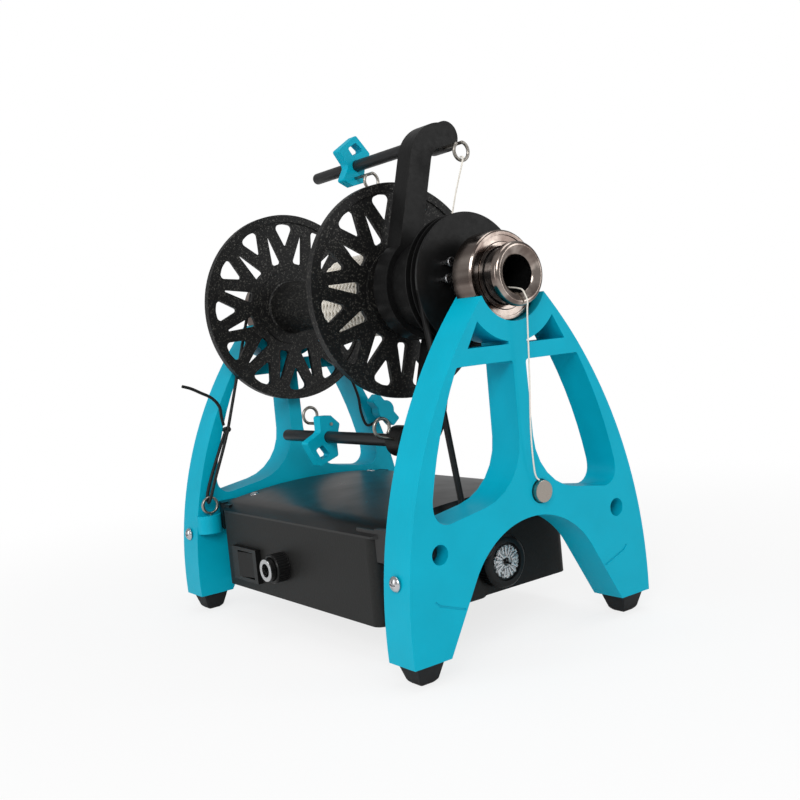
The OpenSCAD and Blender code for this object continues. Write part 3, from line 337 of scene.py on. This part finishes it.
def ridged(name, node, rings, ridges, turn):
    """Stands in for a CAD node: a black ring with a ridged grip, turned about Z and then laid by turn.

    Each of its rings is its radius, its place along the axis, and 1 where it is ridged.
    """
    piece = bpy.data.objects.new(name, bpy.data.meshes.new(name))
    scene.collection.objects.link(piece)
    shape = bmesh.new()
    hoops = []
    for radius, along, grip in rings:
        hoop = bmesh.ops.create_circle(shape, segments=ridges * ridge_points, radius=radius)["verts"]
        for vert in hoop:
            wave = 0.5 - 0.5 * math.cos(ridges * math.atan2(vert.co.y, vert.co.x))
            vert.co = vert.co * (1 - grip * ridge_depth * wave ** 2 / radius) + Vector((0, 0, along))
        hoops.append({edge for vert in hoop for edge in vert.link_edges})
    for first, second in zip(hoops, hoops[1:] + hoops[:1]):
        bmesh.ops.bridge_loops(shape, edges=list(first | second))
    bmesh.ops.recalc_face_normals(shape, faces=shape.faces)
    bmesh.ops.transform(shape, matrix=turn, verts=shape.verts)
    shape.to_mesh(piece.data)
    shape.free()
    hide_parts(node)
    placed(piece, satin_black, frame["nodes"][node]["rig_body"])


jack_low, jack_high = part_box("jack_nut")
jack_middle = (jack_low + jack_high) / 2
jack_turn = Matrix.Translation((jack_high.x, jack_middle.y, jack_middle.z)) @ (
    Matrix.Rotation(math.radians(-90), 4, "Y"))
ridged("jack_nut_knurled", "jack_nut", [
    (0.00463, 0.0, 0), (0.0055, 0.0, 0), (0.0059, 0.0004, 0), (0.0059, 0.0007, 1), (0.0059, 0.0052, 1),
    (0.0059, 0.0055, 0), (0.0055, 0.006, 0), (0.0049, 0.006, 0), (0.00463, 0.0057, 0)], 30, jack_turn)
eased("jack_contact", 0.00015, bright_steel)

# ---------------------------------------------------------------- inside the box
# Speed board, potentiometer and motor.
board_green, place = finish("board_green", (0.01, 0.12, 0.05), 0.3)
drawn(board_green, {"Base Color": tint(noise(place, 500.0), (0.008, 0.1, 0.04), (0.02, 0.17, 0.07))})
eased("speed_board", 0.0002, board_green)
eased("potentiometer", 0.0002, bright_steel)
eased("pot_shaft", 0.0002, bright_steel)
eased("motor_can", 0.0004, bright_steel)
eased("motor_screws", 0.0002, bright_steel)
eased("motor_shaft", 0.0001, bright_steel)

# ---------------------------------------------------------------- speed knob
# A black knob with a finely ridged grip, and a bright speckled disc let into its face.
# Small bars stand on the disc like spokes, with three gaps between them.
knob_low, knob_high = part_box("speed_knob")
knob_middle = (knob_low + knob_high) / 2
knob_turn = Matrix.Translation((knob_middle.x, knob_low.y, knob_middle.z)) @ (
    Matrix.Rotation(math.radians(-90), 4, "X"))
ridged("speed_knob_ridged", "speed_knob", [
    (0.00305, 0.0025, 0), (0.00635, 0.0025, 0), (0.00635, 0.0009, 0), (0.0069, 0.0009, 0), (0.0073, 0.0, 0),
    (0.0088, 0.0, 0), (0.0092, 0.00015, 0), (0.0102, 0.0012, 0), (0.0103, 0.0016, 1), (0.0103, 0.0052, 1),
    (0.0102, 0.0055, 0), (0.0098, 0.0056, 0), (0.00305, 0.0056, 0)], 48, knob_turn)
rough_silver, place = finish("rough_silver", (0.6, 0.6, 0.6), 0.4, {"Metallic": 0.9})
speckle = noise(place, 1100.0, 3.0)
drawn(rough_silver, {
    "Base Color": tint(from_to(speckle, 0.4, 0.62), (0.1, 0.1, 0.1), (0.85, 0.85, 0.85)),
    "Roughness": speckle * 0.5 + 0.2,
    "Normal": bump(speckle, 0.0004, 0.9),
})
eased("knob_insert", 0.0001, rough_silver)
bars = bpy.data.objects.new("knob_insert_teeth", bpy.data.meshes.new("knob_insert_teeth"))
scene.collection.objects.link(bars)
bar_places, bars_to_a_gap = 18, 6
bar_shape = Matrix.Translation((0.0042, 0, 0.00028)) @ Matrix.Diagonal((0.0034, 0.0008, 0.0004, 1))
cut = bmesh.new()
for k in range(bar_places):
    if k % bars_to_a_gap:
        around = Matrix.Rotation(2 * math.pi * (k + 0.5) / bar_places, 4, "Z")
        bmesh.ops.create_cube(cut, size=1, matrix=knob_turn @ around @ bar_shape)
rounded(cut, cut.edges[:], 0.00014, 2)
cut.to_mesh(bars.data)
cut.free()
placed(bars, bright_steel, "knob")

# ---------------------------------------------------------------- pulley and belt
# A small black pulley on the motor's shaft drives the whorl through a round belt.
eased("motor_pulley", 0.0002, satin_black)
belt_rubber, place = finish("belt_rubber", (0.007, 0.007, 0.007), 0.4, {"Specular IOR Level": 0.4})
drawn(belt_rubber, {"Roughness": noise(place, 400.0) * 0.2 + 0.3})
eased("drive_belt", 0.0, belt_rubber)

# ---------------------------------------------------------------- bearings
# Two ball bearings of dark polished steel, with painted highlight streaks along their axis in the steel's
# colour, and pressed shields.
race_steel, place = finish("race_steel", (0.26, 0.21, 0.18), 0.18, {"Metallic": 1.0})
# Painted highlight: lighter bands, stretched along the spindle's axis, are mixed into the steel's base colour.
painted_highlight_streaks = from_to(noise(place, 1.0, 2.0, (160, 20, 160)), 0.35, 0.7)
drawn(race_steel, {
    "Base Color": tint(painted_highlight_streaks, (0.15, 0.115, 0.1), (0.42, 0.36, 0.32)),
    "Roughness": noise(place, 500.0) * 0.12 + 0.12,
})
for node in ("front_outer_race", "rear_outer_race", "front_inner_race", "rear_inner_race"):
    eased(node, 0.0001, race_steel)
for node in ("front_balls", "rear_balls", "bearing_shields"):
    eased(node, 0.0, race_steel)

# ---------------------------------------------------------------- orifice
# A black tube turned to fit the bearing, with a polished ring on its mouth.
tube_gloss, place = finish("tube_gloss", (0.006, 0.006, 0.006), 0.14, {
    "Coat Weight": 0.4, "Coat Roughness": 0.05})
drawn(tube_gloss, {"Roughness": noise(place, 200.0) * 0.1 + 0.08})
eased("orifice_tube", 0.0003, tube_gloss)
# The ring shares the bearings' steel and its painted highlight streaks.
eased("orifice_ring", 0.0002, race_steel)

# ---------------------------------------------------------------- whorl
# The belt's pulley, printed in black, screwed to the flyer's hub from the front.
print_black, place = finish("print_black", (0.004, 0.004, 0.004), 0.36, {"Specular IOR Level": 0.2})
drawn(print_black, {
    "Base Color": tint(noise(place, 700.0), (0.002, 0.002, 0.002), (0.008, 0.008, 0.008)),
    "Roughness": noise(place, 500.0) * 0.2 + 0.28,
    "Normal": bump(noise(place, 1.0, 2.0, (60, 1400, 60)) + noise(place, 900.0) * 0.4, 0.0001, 0.5),
})
eased("flyer_whorl", 0.0002, print_black)
eased("whorl_screws", 0.0003, bright_steel)

# ---------------------------------------------------------------- flyer
# S-shaped arms on a hub carry two black rods and two wire hooks.
eased("flyer_arms", 0.0009, print_black, 3)
eased("flyer_rods", 0.0003, black_steel)
wire_steel, place = finish("wire_steel", (0.3, 0.28, 0.25), 0.3, {"Metallic": 1.0})
drawn(wire_steel, {
    "Base Color": tint(noise(place, 120.0), (0.2, 0.185, 0.165), (0.4, 0.375, 0.34)),
    "Roughness": noise(place, 500.0) * 0.16 + 0.22,
})
eased("arm_hooks", 0.0, wire_steel)
eased("rear_hub", 0.0003, satin_black)
eased("spindle_rod", 0.0003, bright_steel)

# ---------------------------------------------------------------- yarn guides
# Waisted plates that slide along the rods, each with a wire hook.
eased("upper_guide", 0.0005, teal_print)
eased("lower_guide", 0.0005, teal_print)
eased("upper_guide_hook", 0.0, wire_steel)
eased("lower_guide_hook", 0.0, wire_steel)

# ---------------------------------------------------------------- bobbin
# Two printed discs with cut-outs on a hollow core, which runs on turned bushes.
sparkle_black, place = finish("sparkle_black", (0.005, 0.005, 0.005), 0.4, {"Specular IOR Level": 0.27})
grains = place.node("TexVoronoi", {}, {"Vector": place, "Scale": 2600.0}, 1)
fleck = from_to(grains.node("SeparateColor", {}, {0: grains}), 0.86, 0.95)
drawn(sparkle_black, {
    "Base Color": tint(fleck, (0.005, 0.005, 0.005), (0.07, 0.068, 0.06)),
    "Roughness": 0.46 - fleck * 0.2,
    "Normal": bump(noise(place, 900.0), 0.00015, 0.7),
})
for node in ("bobbin_front_disc", "bobbin_rear_disc", "bobbin_core"):
    eased(node, 0.0004, sparkle_black)
turned_plastic, place = finish("turned_plastic", (0.7, 0.62, 0.48), 0.45)
drawn(turned_plastic, {"Roughness": noise(place, 500.0) * 0.2 + 0.35})
eased("bobbin_bushes", 0.0002, turned_plastic)


# ---------------------------------------------------------------- yarn
# Two-ply cream yarn, wound on the core over its own inner layers.
def strand(name, lines, radius, made, body, roundness=3):
    """One or more round strands along lines of points, as one mesh."""
    curve = bpy.data.curves.new(name + "_line", "CURVE")
    curve.dimensions = "3D"
    curve.bevel_depth = radius
    curve.bevel_resolution = roundness
    curve.use_fill_caps = True
    for line in lines:
        spline = curve.splines.new("POLY")
        spline.points.add(len(line) - 1)
        for at, point in zip(spline.points, line):
            at.co = (*point, 1)
    bent = bpy.data.objects.new(name + "_line", curve)
    piece = bpy.data.objects.new(name, bpy.data.meshes.new_from_object(bent))
    bpy.data.objects.remove(bent)
    scene.collection.objects.link(piece)
    piece.data.materials.clear()
    piece.data.materials.append(made)
    piece.data.shade_smooth()
    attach(piece, body)
    return piece


cream_yarn, place = finish("cream_yarn", (0.82, 0.77, 0.68), 0.85, {"Sheen Weight": 0.4})
fuzz = noise(place, 1500.0, 4.0)
drawn(cream_yarn, {
    "Base Color": tint(fuzz, (0.68, 0.62, 0.53), (0.9, 0.87, 0.8)),
    "Normal": bump(fuzz, 0.0003, 0.8),
})
axis = Vector((0, 0, 0.1325))
low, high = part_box("yarn_winding")
loops, pitch, yarn = 11, 0.0026, 0.002
points_per_loop = 90
winding_r = high.x - yarn / 2
ply_r, ply_off, twists_per_loop = 0.00056, 0.00044, 15


def wound(phase):
    """A ply of the winding: it twists about the helix that the yarn follows."""
    line = []
    for k in range(loops * points_per_loop + 1):
        loop = k / points_per_loop
        a = 2 * math.pi * loop
        twist = a * twists_per_loop + phase
        out = Vector((math.cos(a), 0, math.sin(a))) * (winding_r + ply_off * math.cos(twist))
        along = Vector((0, low.y + yarn / 2 + pitch * loop + ply_off * math.sin(twist), 0))
        line.append(axis + out + along)
    return line


winding = strand("yarn_wound", [wound(0), wound(math.pi)], ply_r, cream_yarn, "bobbin", 1)
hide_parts("yarn_winding")
eased("yarn_bed", 0.0, cream_yarn)


# ---------------------------------------------------------------- brake cord
# A braided cord runs from its knot down through the screw eye and back, over the rear disc's spool
# and down to the tension knob. A loose tail leaves the knot.
def route(points, steps, behind=0.0):
    """A smooth line in metres through points in mm: x, y from behind, and height over the spindle's axis."""
    given = [Vector((x, y + behind, z)) * 0.001 + axis for x, y, z in points]
    line = []
    for i in range(len(given) - 1):
        a, b, c, d = (given[min(max(i + k, 0), len(given) - 1)] for k in (-1, 0, 1, 2))
        for k in range(steps):
            t = k / steps
            line.append(b + t * (c - a) / 2 + t * t * (a - 2.5 * b + 2 * c - d / 2)
                        + t ** 3 * (1.5 * (b - c) + (d - a) / 2))
    return line + [given[-1]]


def length(line):
    return sum((b - a).length for a, b in zip(line, line[1:]))


cord_black, place = finish("cord_black", (0.007, 0.007, 0.007), 0.55, {"Specular IOR Level": 0.3})
drawn(cord_black, {
    "Base Color": tint(noise(place, 900.0), (0.005, 0.005, 0.005), (0.016, 0.016, 0.016)),
    "Normal": bump(noise(place, 1500.0), 0.0002, 0.8),
})
front_face = -82.65
spool_middle = front_face + 154.2
cord_d = 0.0014
spool_r = 19.4
down_to_the_eye = [(-38, 0.7, -53.2), (-42.4, 0.7, -62), (-48, 0.7, -74), (-50.4, 0.5, -80.6)]
up_from_the_eye = [(-51.2, -1.8, -83.2), (-50.3, -3.4, -80.2), (-47, -2.6, -73), (-41.2, -1.5, -61),
                   (-37.3, -0.7, -52.4)]
over_the_spool = [(-spool_r * math.cos(math.radians(a)), 0, spool_r * math.sin(math.radians(a)))
                  for a in range(18, 163, 9)]
to_the_knob = [(32, 0, -35.5), (35.4, 0, -46), (36.2, 0, -54), (38.6, 0, -60.5), (43, 0, -60.4), (46, 0, -58.3)]
brake_line = (route(down_to_the_eye + up_from_the_eye, 6, spool_middle) + route(over_the_spool, 2, spool_middle)
              + route(to_the_knob, 6, spool_middle))
brake = strand("brake_cord_braided", [brake_line], cord_d / 2, cord_black, "stand")
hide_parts("brake_cord")
length(brake_line)
tail_line = route([(-38.9, 0, -50.2), (-40, -1, -46.5), (-41, -2, -41.6), (-44.6, -3, -37.4), (-50, -3.6, -34.4),
                   (-54.6, -4, -32), (-58.6, -4.2, -30.6)], 6, spool_middle)
tail = strand("brake_cord_tail", [tail_line], cord_d / 2, cord_black, "stand")
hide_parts("brake_tail")
length(tail_line)
knot_at = Vector((-37.6, spool_middle, 79.8)) * 0.001
knot_size = 0.00046
knot_line = [knot_at + knot_size * Vector(
    (math.sin(t) + 2 * math.sin(2 * t), math.sin(3 * t) * -1.2, math.cos(t) - 2 * math.cos(2 * t)))
    for t in (2 * math.pi * k / 60 for k in range(61))]
strand("brake_cord_knot", [knot_line], 0.00072, cord_black, "stand")

# ---------------------------------------------------------------- leader and flyer thread
# The leader hangs from the orifice to its magnet, and a thread runs from the hub to the front hook.
thread_d = 0.0006
leader_line = route([
    (-2.2, 8, -3.4), (0.4, 2.5, -4.3), (0.8, -3, -5.4), (0.9, -4.6, -7.3), (1, -5.45, -10), (1, -4.75, -15),
    (0.6, -3.65, -35), (-0.2, -2.65, -55), (0.6, -1.95, -69.2), (2.6, -1.75, -72.6)], 8, front_face)
leader = strand("leader_thread", [leader_line], thread_d / 2, cream_yarn, "stand")
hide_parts("leader_line")
length(leader_line)
flyer_lean = Matrix.Rotation(math.radians(15.2), 3, "Y")
thread_line = [axis + flyer_lean @ (point - axis) for point in route([
    (0, 38, 12), (0.2, 37.7, 19.5), (0.4, 37, 34), (0.2, 34.7, 47.3), (0.2, 34.85, 49.1), (0.2, 36.4, 49.5)],
    6, front_face)]
thread = strand("flyer_thread_spun", [thread_line], thread_d / 2, cream_yarn, "flyer")
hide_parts("flyer_thread")
length(thread_line)

# ---------------------------------------------------------------- eye, tension knob and magnet
# The cord runs through a screw eye and ends on the stud of a winged knob. The magnet parks the leader.
eased("screw_eye", 0.0, wire_steel)
eased("tension_stud", 0.0002, bright_steel)
eased("tension_knob", 0.0006, teal_print)
nickel, place = finish("nickel_plate", (0.4, 0.36, 0.32), 0.28, {"Metallic": 1.0})
drawn(nickel, {"Roughness": noise(place, 800.0, 3.0) * 0.2 + 0.2})
eased("parking_magnet", 0.0003, nickel)
